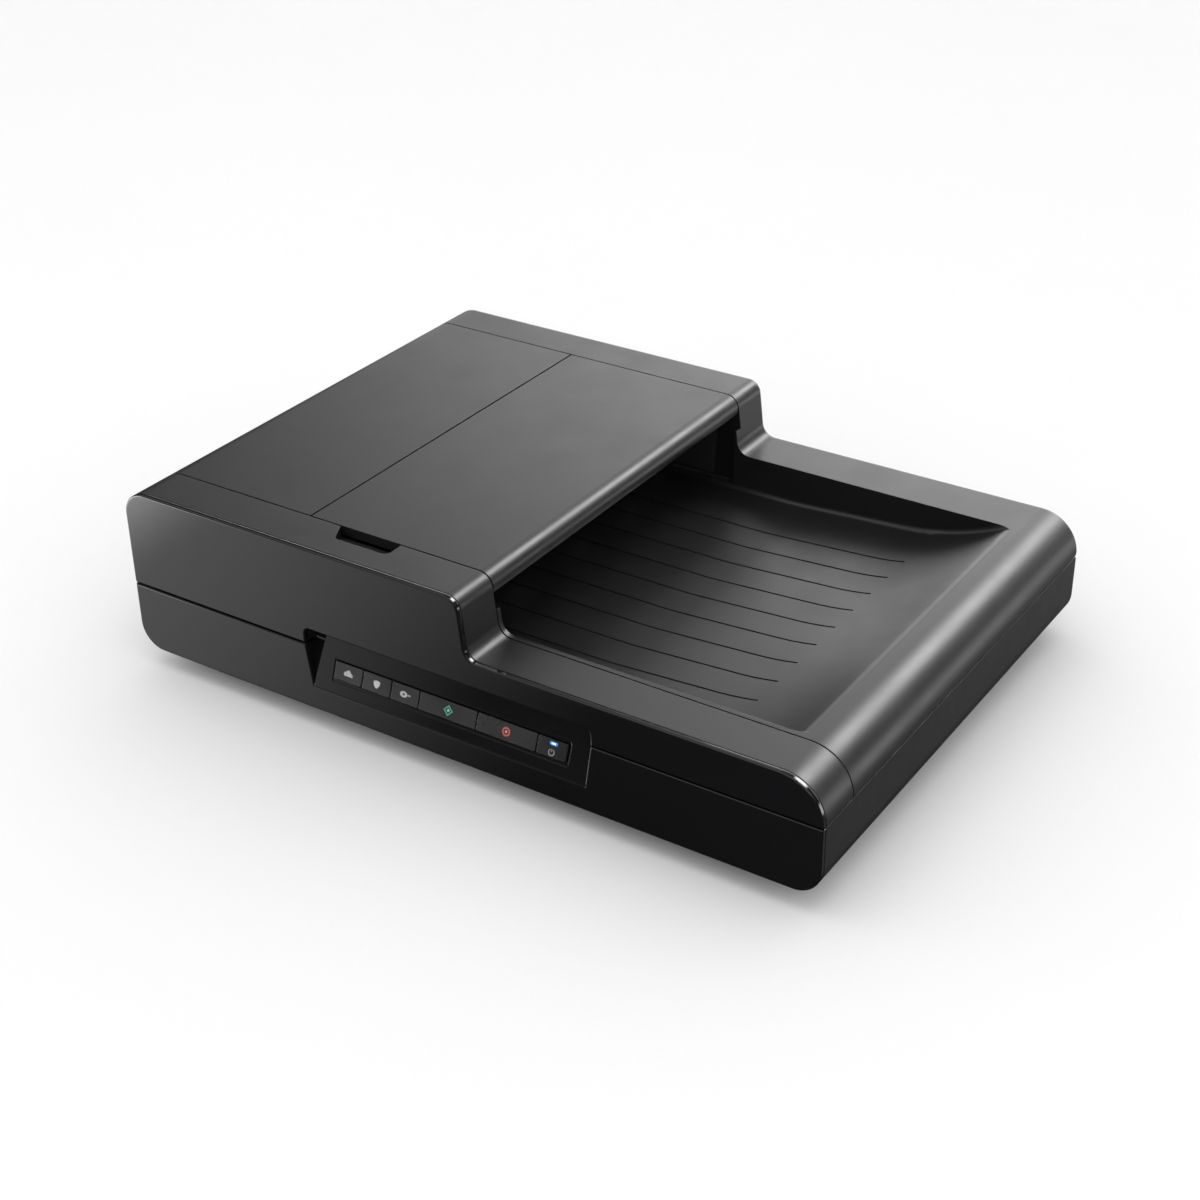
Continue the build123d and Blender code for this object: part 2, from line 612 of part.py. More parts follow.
with BuildPart() as lid_hollow:
    with BuildSketch(across(REAR - LID_WALL)):
        lid_section(LID_WALL, LID_BOTTOM - 5)
    extrude(amount=REAR - LID_WALL - (COVER_FRONT + LID_WALL))
    add(pocket_shell, mode=Mode.SUBTRACT)
    bar((-HALF_W, STEP_X + STEP_R + 5), (BAY_REAR - 1, BAY_REAR + LID_WALL), (60, HEIGHT), Mode.SUBTRACT)

with BuildPart() as lid_cover:
    with BuildSketch(across(REAR)):
        lid_section()
    extrude(amount=REAR - COVER_FRONT)
    bar(SUNK_X, (POCKET_FRONT - 1, POCKET_REAR + 1), (FLOOR_Z - POCKET_WALL, LID_BOTTOM + 1))
    back = lid_cover.faces().sort_by(Axis.Y)[-1]
    fillet(back.edges().filter_by(lambda e: e.center().Z > LID_BOTTOM + 0.1), 4)
    bar((-HALF_W + LID_WALL, STEP_X + STEP_R), (BAY_FRONT - 1, BAY_REAR), (60, HEIGHT + 1), Mode.SUBTRACT)
    bar((-HALF_W - 1, STEP_X + STEP_R), (BAY_FRONT - 1, BAY_REAR), (COVER_EDGE - 1, HEIGHT + 1),
        Mode.SUBTRACT)
    bar((0, STEP_FOOT_X), (BAY_FRONT - 1, BAY_REAR), (98, HEIGHT + 1), Mode.SUBTRACT)
    add(pocket, mode=Mode.SUBTRACT)
    add(lid_hollow.part, mode=Mode.SUBTRACT)
    add(floor_grooves.part, mode=Mode.SUBTRACT)
    groove([(COVER_HINGE_X, COVER_EDGE - 1), (-HALF_W - 1, COVER_EDGE - 1), (-HALF_W - 1, COVER_EDGE - 5.5)],
           (BAY_FRONT, BAY_REAR))
    side_prism([(HINGE_Y, LID_BOTTOM), (REAR + 1, LID_BOTTOM), (REAR + 1, LID_BOTTOM + 5.5)],
               (-HALF_W, HALF_W), Mode.SUBTRACT)
    for side in (-1, 1):
        middle = side * HINGE_X
        rod_x(HINGE_Y, HINGE_Z, KNUCKLE_R + 0.6, (middle - 16, middle + 16), Mode.SUBTRACT)
    for y in COVER_KNUCKLES:
        bar((-232.5, -229), (y, y + 12), (95, COVER_HINGE_Z))
        rod_y((COVER_HINGE_X, COVER_HINGE_Z), 3, (y, y + 12))
        for end in (y - 12, y + 12):
            rod_y((COVER_HINGE_X, COVER_HINGE_Z), 3.4, (end - 0.4, end + 12.4), Mode.SUBTRACT)
        rod_y((COVER_HINGE_X, COVER_HINGE_Z), PIN_R + PRESS_GAP, (y - 1, y + 13), Mode.SUBTRACT)
    for shaft in SHAFT_HOLES:
        rod_y(shaft, SHAFT_HOLE_R, (BAY_REAR - 1, BAY_REAR + 4), Mode.SUBTRACT)
    rod_y(idler_centre, SHAFT_HOLE_R, (BAY_REAR - 1, BAY_REAR + 4), Mode.SUBTRACT)
    rod_y((TRAY_AXIS_X, TRAY_AXIS_Z), TRAY_PIVOT_R + RUNNING, (BAY_REAR - 1, BAY_REAR + 4), Mode.SUBTRACT)

save(lid_cover, "lid_cover")

with BuildPart() as lid_front_trim:
    with BuildSketch(across(TRIM_BACK)):
        lid_section()
    extrude(amount=TRIM_BACK - SHELL_FRONT)
    with BuildSketch(across(TRIM_BACK - LID_WALL)):
        lid_section(LID_WALL, LID_BOTTOM - 5)
    extrude(amount=TRIM_BACK - LID_WALL - SHELL_FRONT, mode=Mode.SUBTRACT)
    bar((-HALF_W + 1, HALF_W - 2), (SHELL_FRONT, TRIM_BACK), (LID_BOTTOM, LID_BOTTOM + LID_WALL))
    bar((RECESS_LEFT - 3, RECESS_RIGHT + 3), (SHELL_FRONT, -149.0), (LID_BOTTOM, RECESS_TOP + 3))
    bar((-99, -49), (-151, TRIM_BACK), (110, HEIGHT - 1))
    bar((RECESS_LEFT - 0.3, RECESS_RIGHT + 0.3), (SHELL_FRONT - 1, -152.0), (LID_BOTTOM - 1, RECESS_TOP),
        Mode.SUBTRACT)
    with BuildSketch(Plane.XY.offset(HEIGHT + 1)):
        with BuildLine():
            Polyline((-96, TRIM_BACK + 1), (-89, -148), (-52, -148), (-52, TRIM_BACK + 1), close=True)
        make_face()
        fillet(vertices().filter_by(lambda v: v.Y < -147), 4)
    extrude(amount=-8, mode=Mode.SUBTRACT)
    for shaft in (TURN, EXIT):
        rod_y(shaft, SHAFT_HOLE_R, (TRIM_BACK - 4, TRIM_BACK + 1), Mode.SUBTRACT)
    rod_y((TRAY_AXIS_X, TRAY_AXIS_Z), TRAY_PIVOT_R + RUNNING, (TRIM_BACK - 4, TRIM_BACK + 1), Mode.SUBTRACT)

save(lid_front_trim, "lid_front_trim")

with BuildPart() as lid_front_panel:
    with BuildSketch(across(PANEL_BACK)):
        lid_section()
    extrude(amount=PANEL_BACK - FRONT)
    with BuildSketch(across(PANEL_BACK + 1)):
        with BuildLine():
            Polyline((RECESS_LEFT, LID_BOTTOM - 1), (RECESS_RIGHT, LID_BOTTOM - 1),
                     (RECESS_RIGHT, RECESS_TOP), (RECESS_LEFT, RECESS_TOP), close=True)
        make_face()
        fillet(vertices().group_by(Axis.Y)[-1], 4)
    extrude(amount=PANEL_BACK - FRONT + 2, mode=Mode.SUBTRACT)
    face = lid_front_panel.faces().sort_by(Axis.Y)[0]
    fillet(face.edges(), EDGE_R)

save(lid_front_panel, "lid_front_panel")

PLATE_NOTCH_Y = -151.0
with BuildPart() as lid_bottom_plate:
    bar((-228, 228), (-158, 155), (LID_BOTTOM - 3, LID_BOTTOM))
    bar(PANEL_NOTCH_X, (-160, PLATE_NOTCH_Y), (LID_BOTTOM - 4, LID_BOTTOM + 1), Mode.SUBTRACT)
    fillet(lid_bottom_plate.edges().filter_by(Axis.Z), 3)
    bar((SUNK_X[0] - 2, SUNK_X[1] + 2), (POCKET_FRONT - 3, POCKET_REAR + 3),
        (FLOOR_Z - POCKET_WALL - 0.2, LID_BOTTOM + 1), Mode.SUBTRACT)

save(lid_bottom_plate, "lid_bottom_plate")

with BuildPart() as platen_pad:
    with BuildSketch(Plane.XY.offset(GLASS_TOP + 0.6)):
        RectangleRounded(308, 228, 4)
    extrude(amount=3.2)

save(platen_pad, "platen_pad")

with BuildPart() as lid_hinge_leaves:
    for side in (-1, 1):
        middle = side * HINGE_X
        rod_x(HINGE_Y, HINGE_Z, KNUCKLE_R, (middle - 9.7, middle + 9.7))
        bar((middle - 9.7, middle + 9.7), (HINGE_Y - KNUCKLE_R, HINGE_Y + 1.4), (HINGE_Z, 76))
        rod_x(HINGE_Y, HINGE_Z, PIN_R + RUNNING, (middle - 10, middle + 10), Mode.SUBTRACT)

save(lid_hinge_leaves, "lid_hinge_leaves")

# ---------------------------------------------------------------- feeder frame


def side_plate(y, shafts):
    """Sheet plate that carries the roller shafts."""
    groove([(-222, 61), (-105, 61), (-100, 63), (-6, 63), (-4, 101), (-112, 101),
            (-120, 104.7), (-205, 104.7), (-222, 95)], y, Mode.ADD)
    for shaft in shafts:
        rod_y(shaft, BUSH_R, (y[0] - 1, y[1] + 1), Mode.SUBTRACT)
    rod_y(EXIT_IDLER, THIN_SHAFT_R + RUNNING, (y[0] - 1, y[1] + 1), Mode.SUBTRACT)


BUSHED = (TURN, FEED, EXIT, RETARD)

with BuildPart() as adf_side_plate_front:
    side_plate(PLATE_FRONT, BUSHED)

save(adf_side_plate_front, "adf_side_plate_front")

with BuildPart() as adf_side_plate_rear:
    side_plate(PLATE_REAR, BUSHED)
    rod_y(idler_centre, SHAFT_R + RUNNING, (PLATE_REAR[0] - 1, PLATE_REAR[1] + 1), Mode.SUBTRACT)

save(adf_side_plate_rear, "adf_side_plate_rear")

with BuildPart() as roller_bushes:
    for shaft in BUSHED:
        for y in (PLATE_FRONT, PLATE_REAR):
            rod_y(shaft, BUSH_R, y)
            rod_y(shaft, SHAFT_R + RUNNING, (y[0] - 1, y[1] + 1), Mode.SUBTRACT)

save(roller_bushes, "roller_bushes")

BETWEEN_PLATES = (PLATE_FRONT[1] + 0.4, PLATE_REAR[0] - 0.4)
DECK_THICK = 2.2
DECK_RIGHT = (-2.0, 100.5)
DECK_LEFT = (-137.0, 87.4)
GUIDE_LEFT = (-193.0, 65.6)
GUIDE_RIGHT = (-59.0, 74.0)

with BuildPart() as feed_deck:
    groove([DECK_RIGHT, DECK_LEFT, (DECK_LEFT[0], DECK_LEFT[1] - DECK_THICK),
            (DECK_RIGHT[0], DECK_RIGHT[1] - DECK_THICK)], BETWEEN_PLATES, Mode.ADD)
    bar((DECK_LEFT[0] - 1, -128), (-24, 24), (80, 95), Mode.SUBTRACT)

save(feed_deck, "feed_deck")

with BuildPart() as lower_paper_guide:
    groove([GUIDE_LEFT, GUIDE_RIGHT, (GUIDE_RIGHT[0], GUIDE_RIGHT[1] - DECK_THICK),
            (GUIDE_LEFT[0], GUIDE_LEFT[1] - DECK_THICK)], BETWEEN_PLATES, Mode.ADD)
    bar((RETARD[0] - RETARD_R - 2, RETARD[0] + RETARD_R + 2), (-23, 23), (60, 75), Mode.SUBTRACT)

save(lower_paper_guide, "lower_paper_guide")

with BuildPart() as turn_guide:
    with BuildSketch(across(BETWEEN_PLATES[1])):
        with BuildLine():
            outer = CenterArc(TURN, TURN_R + 4.7, 100, 162)
            inner = CenterArc(TURN, TURN_R + 2.5, 100, 162)
            Line(outer @ 0, inner @ 0)
            Line(outer @ 1, inner @ 1)
        make_face()
    extrude(amount=BETWEEN_PLATES[1] - BETWEEN_PLATES[0])

save(turn_guide, "turn_guide")

with BuildPart() as paper_path_sensors:
    for x, z in ((-110, 72), (-75, 74.5)):
        bar((x - 9, x + 9), (-118, 118), (z, z + 13))
        bar((x - 2, x + 2), (-112, 112), (z - 1, z + 1), Mode.SUBTRACT)

save(paper_path_sensors, "paper_path_sensors")

with BuildPart() as adf_motor:
    rod_y(pinion_centre, 17.0, (150, 163.5))
    rod_y(pinion_centre, 5, (149.2, 150))
    rod_y(pinion_centre, PIN_R + RUNNING, (149, 157), Mode.SUBTRACT)

save(adf_motor, "adf_motor")

FRONT_BELT_Y = (-148.0, -142.0)
TURN_PULLEY_R = 9.333
EXIT_PULLEY_R = 4.0


def belt_hull(grow, mode):
    """Hull of the two pulleys of the front belt, in the sketch."""
    with BuildSketch() as hull:
        with Locations(TURN):
            Circle(TURN_PULLEY_R + grow)
        with Locations(EXIT):
            Circle(EXIT_PULLEY_R + grow)
        make_hull()
    add(hull.sketch, mode=mode)


with BuildPart() as adf_drive_belt:
    with BuildSketch(across(FRONT_BELT_Y[1])):
        belt_hull(1.4, Mode.ADD)
        belt_hull(0.2, Mode.SUBTRACT)
    extrude(amount=FRONT_BELT_Y[1] - FRONT_BELT_Y[0])

save(adf_drive_belt, "adf_drive_belt")

# ---------------------------------------------------------------- rollers and feeder gears


def feeder_gear(centre, teeth, phase):
    """Gear in the bay behind the rear plate."""
    toothed_disc(across(GEAR_Y[1]), centre, teeth, FEEDER_MODULE, phase, GEAR_Y[1] - GEAR_Y[0])


with BuildPart() as turn_roller:
    rod_y(TURN, SHAFT_R, (-149, 149))
    for y in (-112, -56, 16, 72):
        rod_y(TURN, TURN_R, (y, y + 40))
    rod_y(TURN, TURN_PULLEY_R, FRONT_BELT_Y)
    feeder_gear(TURN, TURN_TEETH, mesh_phase(pinion_centre, TURN, PINION_TEETH, TURN_TEETH))

save(turn_roller, "turn_roller")

idler_phase = mesh_phase(pinion_centre, idler_centre, PINION_TEETH, IDLER_TEETH)

with BuildPart() as feed_roller:
    rod_y(FEED, SHAFT_R, (PLATE_FRONT[0], 149))
    rod_y(FEED, FEED_R, (-20, 20))
    feeder_gear(FEED, FEED_TEETH, mesh_phase(idler_centre, FEED, IDLER_TEETH, FEED_TEETH, idler_phase))

save(feed_roller, "feed_roller")

with BuildPart() as adf_motor_pinion:
    feeder_gear(pinion_centre, PINION_TEETH, 0)
    rod_y(pinion_centre, PIN_R, (141, 156.5))

save(adf_motor_pinion, "adf_motor_pinion")

with BuildPart() as adf_idler_gear:
    feeder_gear(idler_centre, IDLER_TEETH, idler_phase)
    rod_y(idler_centre, SHAFT_R, (PLATE_REAR[0], 148))

save(adf_idler_gear, "adf_idler_gear")

with BuildPart() as retard_roller:
    rod_y(RETARD, SHAFT_R, (PLATE_FRONT[0], PLATE_REAR[1]))
    rod_y(RETARD, RETARD_R, (-20, 20))

save(retard_roller, "retard_roller")

with BuildPart() as exit_roller:
    rod_y(EXIT, SHAFT_R, (-149, PLATE_REAR[1]))
    for y in (-105, -45, 25, 85):
        rod_y(EXIT, EXIT_R, (y, y + 20))
    rod_y(EXIT, EXIT_PULLEY_R, FRONT_BELT_Y)

save(exit_roller, "exit_roller")

with BuildPart() as exit_idlers:
    rod_y(EXIT_IDLER, THIN_SHAFT_R, (PLATE_FRONT[0], PLATE_REAR[1]))
    for y in (-103, -43, 27, 87):
        rod_y(EXIT_IDLER, EXIT_IDLER_R, (y, y + 16))

save(exit_idlers, "exit_idlers")

with BuildPart() as pick_arm:
    for y in ((-25, -22), (22, 25)):
        with BuildSketch(across(y[1])):
            with Locations(FEED):
                Circle(6)
            with Locations(PICK):
                Circle(5)
            make_hull()
        extrude(amount=3)
    bar((-138, -134), (-25, 25), (99, 104))
    rod_y(FEED, SHAFT_R + RUNNING, (-26, 26), Mode.SUBTRACT)
    rod_y(PICK, THIN_SHAFT_R + RUNNING, (-26, 26), Mode.SUBTRACT)

save(pick_arm, "pick_arm")

with BuildPart() as pick_roller:
    rod_y(PICK, THIN_SHAFT_R, (-27, 27))
    rod_y(PICK, PICK_R, (-18, 18))

save(pick_roller, "pick_roller")

# ---------------------------------------------------------------- feeder cover

with BuildPart() as cover_hollow:
    with BuildSketch(across(TRAY_REAR - 2.2)):
        lid_section(LID_WALL)
    extrude(amount=TRAY_REAR - TRAY_FRONT - 4.4)
    bar((COVER_RIGHT - 2.2, 40), (TRAY_FRONT - 1, TRAY_REAR + 1), (113, HEIGHT), Mode.SUBTRACT)

with BuildPart() as adf_cover:
    with BuildSketch(across(TRAY_REAR)):
        lid_section()
    extrude(amount=TRAY_REAR - TRAY_FRONT)
    bar((-HALF_W, COVER_RIGHT), (TRAY_FRONT, TRAY_REAR), (COVER_EDGE, HEIGHT), Mode.INTERSECT)
    add(cover_hollow.part, mode=Mode.SUBTRACT)
    bar((COVER_RIGHT - 5, COVER_RIGHT + 1), (TRAY_FRONT - 1, TRAY_REAR + 1), (COVER_EDGE - 1, 114),
        Mode.SUBTRACT)
    groove([(COVER_HINGE_X, COVER_EDGE), (-HALF_W - 1, COVER_EDGE), (-HALF_W - 1, COVER_EDGE + 4.5)],
           (TRAY_FRONT, TRAY_REAR))
    for y in COVER_KNUCKLES:
        rod_y((COVER_HINGE_X, COVER_HINGE_Z), 3.4, (y - 0.4, y + 12.4), Mode.SUBTRACT)
        for end in (y - 11.6, y + 12.4):
            bar((-232.5, -229), (end, end + 11.2), (COVER_HINGE_Z, 112))
            rod_y((COVER_HINGE_X, COVER_HINGE_Z), 3, (end, end + 11.2))
            rod_y((COVER_HINGE_X, COVER_HINGE_Z), PIN_R + RUNNING, (end - 1, end + 12), Mode.SUBTRACT)

save(adf_cover, "adf_cover")

with BuildPart() as cover_hinge_pins:
    for y in COVER_KNUCKLES:
        rod_y((COVER_HINGE_X, COVER_HINGE_Z), PIN_R, (y - 11, y + 23))

save(cover_hinge_pins, "cover_hinge_pins")

with BuildPart() as adf_cover_guide:
    for y in (-115, -85, -50, 50, 85, 115):
        bar((-215, -128), (y - 1, y + 1), (110.5, 117.4))
    bar((-215, -128), (-116, 116), (114.5, 116.5))

save(adf_cover_guide, "adf_cover_guide")

# ---------------------------------------------------------------- feed tray

GUIDE_X = (-95.0, -25.0)
GUIDE_STEMS = (-80.0, -40.0)
GUIDE_REST = 108.0
GUIDE_TRAVEL = 70.0
RACK_MODULE = 1.0
GUIDE_TEETH = 16
GUIDE_PINION = (-60.0, 0.0)
RACK_Z = (116.4, 117.6)

with BuildPart() as feed_tray_panel:
    bar((TRAY_LEFT, TRAY_AXIS_X), (TRAY_FRONT, TRAY_REAR), (118, HEIGHT))
    with BuildSketch(across(TRAY_REAR)):
        with BuildLine():
            outer = CenterArc((TRAY_AXIS_X, TRAY_AXIS_Z), TRAY_ROLL_R, -20, 110)
            inner = CenterArc((TRAY_AXIS_X, TRAY_AXIS_Z), TRAY_ROLL_R - 2, -20, 110)
            Line(outer @ 0, inner @ 0)
            Line(outer @ 1, inner @ 1)
        make_face()
    extrude(amount=TRAY_REAR - TRAY_FRONT)
    bar((TRAY_LEFT, TRAY_LEFT + 2), (TRAY_FRONT, TRAY_REAR), (114, 119))
    for y in ((TRAY_FRONT, TRAY_FRONT + 2.5), (TRAY_REAR - 2.5, TRAY_REAR)):
        bar((TRAY_LEFT, TRAY_AXIS_X), y, (114, 119))
        rod_y((TRAY_AXIS_X, TRAY_AXIS_Z), TRAY_ROLL_R - 1, y)
    rod_y((TRAY_AXIS_X, TRAY_AXIS_Z), TRAY_PIVOT_R, (-137.0, TRAY_FRONT + 1))
    rod_y((TRAY_AXIS_X, TRAY_AXIS_Z), TRAY_PIVOT_R, (TRAY_REAR - 1, 138.2))

save(feed_tray_panel, "feed_tray_panel")

with BuildPart() as feed_tray_liner:
    bar((TRAY_LEFT + 2.2, -7.5), (TRAY_FRONT + 2.7, TRAY_REAR - 2.7), (114, 115.6))
    for side in (-1, 1):
        slot = sorted((side * 34.0, side * 112.0))
        for x in GUIDE_STEMS:
            bar((x - 1.8, x + 1.8), slot, (113, 117), Mode.SUBTRACT)
    rod_z(*GUIDE_PINION, 2, (115, 117.8))

save(feed_tray_liner, "feed_tray_liner")


def rack_teeth(x_line, side, y, phase):
    """Straight-sided rack teeth along Y, pointing towards side in x."""
    pitch = pi * RACK_MODULE
    slope = tan(radians(20))
    half = pitch / 4 - 0.06
    count = int((y[1] - y[0]) / pitch) + 1
    for number in range(-count, count + 1):
        middle = phase + number * pitch
        if middle - pitch / 2 > y[0] and middle + pitch / 2 < y[1]:
            with BuildSketch(Plane.XY.offset(RACK_Z[0])) as tooth:
                with BuildLine():
                    Polyline((x_line - side * 1.2, middle - half - 1.2 * slope),
                             (x_line + side * 0.9, middle - half + 0.9 * slope),
                             (x_line + side * 0.9, middle + half - 0.9 * slope),
                             (x_line - side * 1.2, middle + half + 1.2 * slope), close=True)
                make_face()
            extrude(tooth.sketch, amount=RACK_Z[1] - RACK_Z[0])


PITCH_R = RACK_MODULE * GUIDE_TEETH / 2


def document_guide(side):
    """Paper guide with its fence below the tray liner and a rack above it."""
    rest = side * GUIDE_REST
    rack_x = GUIDE_PINION[0] + side * PITCH_R
    back = rack_x + side * 1.2
    reach = sorted((rest, side * (GUIDE_REST - GUIDE_TRAVEL - 48)))
    bar(GUIDE_X, (rest - 1.25, rest + 1.25), (105, 113.8))
    bar(GUIDE_X, sorted((rest, rest + side * 5)), (112.6, 113.8))
    for x in GUIDE_STEMS:
        bar((x - 1.4, x + 1.4), (rest - 2, rest + 2), (113, RACK_Z[1]))
    near_stem = GUIDE_PINION[0] + side * 20.0
    bar(sorted((near_stem, back)), (rest - 2, rest + 2), RACK_Z)
    bar(sorted((back, back + side * 3)), reach, RACK_Z)
    rack_teeth(rack_x, -side, reach, RACK_MODULE * pi / 2 if side > 0 else -RACK_MODULE * pi / 2)


with BuildPart() as document_guide_front:
    document_guide(-1)

save(document_guide_front, "document_guide_front")

with BuildPart() as document_guide_rear:
    document_guide(1)

save(document_guide_rear, "document_guide_rear")

with BuildPart() as guide_pinion:
    toothed_disc(Plane.XY.offset(RACK_Z[0]), GUIDE_PINION, GUIDE_TEETH, RACK_MODULE, 0, RACK_Z[1] - RACK_Z[0])
    rod_z(*GUIDE_PINION, 2 + RUNNING, (RACK_Z[0] - 1, RACK_Z[1] + 1), Mode.SUBTRACT)

save(guide_pinion, "guide_pinion")

with BuildPart() as feed_tray_extension:
    bar((-112, -20), (-32, 32), (111.8, 113.6))
    bar((-112, -108), (-32, 32), (110.4, 112))
    fillet(feed_tray_extension.edges().filter_by(Axis.Z).group_by(Axis.X)[0], 0.8)

save(feed_tray_extension, "feed_tray_extension")
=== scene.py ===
import json
from math import cos, hypot, pi, radians, sin

import bmesh
import bpy
from mathutils import Matrix, Vector


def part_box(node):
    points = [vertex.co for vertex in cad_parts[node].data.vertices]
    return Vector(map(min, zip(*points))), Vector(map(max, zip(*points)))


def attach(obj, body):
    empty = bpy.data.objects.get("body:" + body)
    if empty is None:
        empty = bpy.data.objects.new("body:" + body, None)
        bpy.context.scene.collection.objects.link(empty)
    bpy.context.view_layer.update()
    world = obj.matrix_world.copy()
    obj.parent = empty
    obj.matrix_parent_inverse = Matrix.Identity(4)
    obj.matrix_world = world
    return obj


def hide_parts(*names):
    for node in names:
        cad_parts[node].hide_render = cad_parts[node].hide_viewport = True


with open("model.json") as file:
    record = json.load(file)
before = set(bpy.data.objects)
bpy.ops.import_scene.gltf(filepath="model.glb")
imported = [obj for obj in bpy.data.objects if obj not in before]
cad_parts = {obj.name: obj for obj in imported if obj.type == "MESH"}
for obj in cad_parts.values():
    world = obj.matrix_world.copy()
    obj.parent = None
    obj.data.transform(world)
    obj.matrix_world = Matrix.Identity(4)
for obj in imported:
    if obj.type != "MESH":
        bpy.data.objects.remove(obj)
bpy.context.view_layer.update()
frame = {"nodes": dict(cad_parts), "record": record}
NODES = frame["nodes"]
MM = 0.001


# ---------------------------------------------------------------- material helpers

def new_material(name):
    material = bpy.data.materials.new(name)
    material.use_nodes = True
    tree = material.node_tree
    return material, tree.nodes, tree.links, tree.nodes["Principled BSDF"]


def noise(nodes, links, scale, detail=3.0, roughness=0.5, stretch=(1, 1, 1)):
    """Noise in the row frame's metres, so its grain has a real size."""
    coords = nodes.new("ShaderNodeTexCoord")
    mapping = nodes.new("ShaderNodeMapping")
    mapping.inputs["Scale"].default_value = stretch
    texture = nodes.new("ShaderNodeTexNoise")
    texture.inputs["Scale"].default_value = scale
    texture.inputs["Detail"].default_value = detail
    texture.inputs["Roughness"].default_value = roughness
    links.new(coords.outputs["Object"], mapping.inputs["Vector"])
    links.new(mapping.outputs["Vector"], texture.inputs["Vector"])
    return texture.outputs["Fac"]


def ramp(nodes, links, source, low, high, start=0.3, end=0.7):
    """Maps a 0..1 source to low..high between start and end."""
    node = nodes.new("ShaderNodeMapRange")
    node.inputs["From Min"].default_value = start
    node.inputs["From Max"].default_value = end
    node.inputs["To Min"].default_value = low
    node.inputs["To Max"].default_value = high
    links.new(source, node.inputs["Value"])
    return node.outputs["Result"]


def tint(nodes, links, factor, dark, light):
    """Mixes two colours by a factor."""
    mix = nodes.new("ShaderNodeMix")
    mix.data_type = "RGBA"
    mix.inputs["A"].default_value = (*dark, 1)
    mix.inputs["B"].default_value = (*light, 1)
    links.new(factor, mix.inputs["Factor"])
    return mix.outputs["Result"]


def bump(nodes, links, height, strength, distance, below=None):
    node = nodes.new("ShaderNodeBump")
    node.inputs["Strength"].default_value = strength
    node.inputs["Distance"].default_value = distance
    links.new(height, node.inputs["Height"])
    if below is not None:
        links.new(below, node.inputs["Normal"])
    return node.outputs["Normal"]


def rounded_edges(nodes, radius):
    """Normal that rounds sharp moulded edges."""
    node = nodes.new("ShaderNodeBevel")
    node.samples = 6
    node.inputs["Radius"].default_value = radius
    return node.outputs["Normal"]


def painted_edge_highlight(nodes, links, amount):
    """High on sharp convex edges: a painted edge highlight that lightens the colour there."""
    node = nodes.new("ShaderNodeNewGeometry")
    return ramp(nodes, links, node.outputs["Pointiness"], 0.0, amount, 0.52, 0.62)


def plastic(name, dark, light, roughness, grain_size, grain_depth, edge=0.4 * MM, coat=0.0, specular=0.5):
    """Moulded plastic: fine spark-erosion grain, slight colour drift, patchy gloss, and a painted highlight
    on sharp edges.
    """
    material, nodes, links, shader = new_material(name)
    drift = noise(nodes, links, 9.0, 2.0)
    grain = noise(nodes, links, 1.0 / grain_size, 2.0, 0.6)
    base = tint(nodes, links, ramp(nodes, links, drift, 0.0, 1.0), dark, light)
    # painted edge highlight: the colour is mixed towards a lighter tone on sharp convex edges
    edge_highlight_mix = nodes.new("ShaderNodeMix")
    edge_highlight_mix.data_type = "RGBA"
    links.new(painted_edge_highlight(nodes, links, 0.25), edge_highlight_mix.inputs["Factor"])
    links.new(base, edge_highlight_mix.inputs["A"])
    edge_highlight_mix.inputs["B"].default_value = tuple(min(1.0, c * 1.8 + 0.01) for c in light) + (1,)
    links.new(edge_highlight_mix.outputs["Result"], shader.inputs["Base Color"])
    smudge = noise(nodes, links, 35.0, 4.0, 0.6)
    links.new(ramp(nodes, links, smudge, roughness[0], roughness[1]), shader.inputs["Roughness"])
    rounded = rounded_edges(nodes, edge)
    links.new(bump(nodes, links, grain, grain_depth, 0.05 * MM, rounded), shader.inputs["Normal"])
    shader.inputs["Specular IOR Level"].default_value = specular
    shader.inputs["Coat Weight"].default_value = coat
    shader.inputs["Coat Roughness"].default_value = 0.04
    return material


def gloss(name, colour, roughness=(0.03, 0.07)):
    """Piano-black plastic: polished, with the faint orange peel of a mould and wiping haze."""
    material, nodes, links, shader = new_material(name)
    drift = noise(nodes, links, 6.0)
    brighter = tuple(c * 1.4 for c in colour)
    tone = tint(nodes, links, ramp(nodes, links, drift, 0, 1), colour, brighter)
    links.new(tone, shader.inputs["Base Color"])
    haze = noise(nodes, links, 60.0, 5.0, 0.7, (1, 1, 0.3))
    links.new(ramp(nodes, links, haze, roughness[0], roughness[1]), shader.inputs["Roughness"])
    peel = noise(nodes, links, 180.0, 1.0)
    rounded = rounded_edges(nodes, 0.5 * MM)
    links.new(bump(nodes, links, peel, 0.03, 0.1 * MM, rounded), shader.inputs["Normal"])
    shader.inputs["Specular IOR Level"].default_value = 0.5
    return material


def metal(name, colour, roughness, brush=(1, 1, 1)):
    """Plated or ground steel with fine brushing and dull patches."""
    material, nodes, links, shader = new_material(name)
    streaks = noise(nodes, links, 900.0, 2.0, 0.5, brush)
    patches = noise(nodes, links, 30.0, 3.0)
    dark = tuple(c * 0.8 for c in colour)
    tone = tint(nodes, links, ramp(nodes, links, patches, 0, 1), dark, colour)
    links.new(tone, shader.inputs["Base Color"])
    links.new(ramp(nodes, links, patches, roughness[0], roughness[1]), shader.inputs["Roughness"])
    shader.inputs["Metallic"].default_value = 1.0
    rounded = rounded_edges(nodes, 0.3 * MM)
    links.new(bump(nodes, links, streaks, 0.15, 0.05 * MM, rounded), shader.inputs["Normal"])
    return material


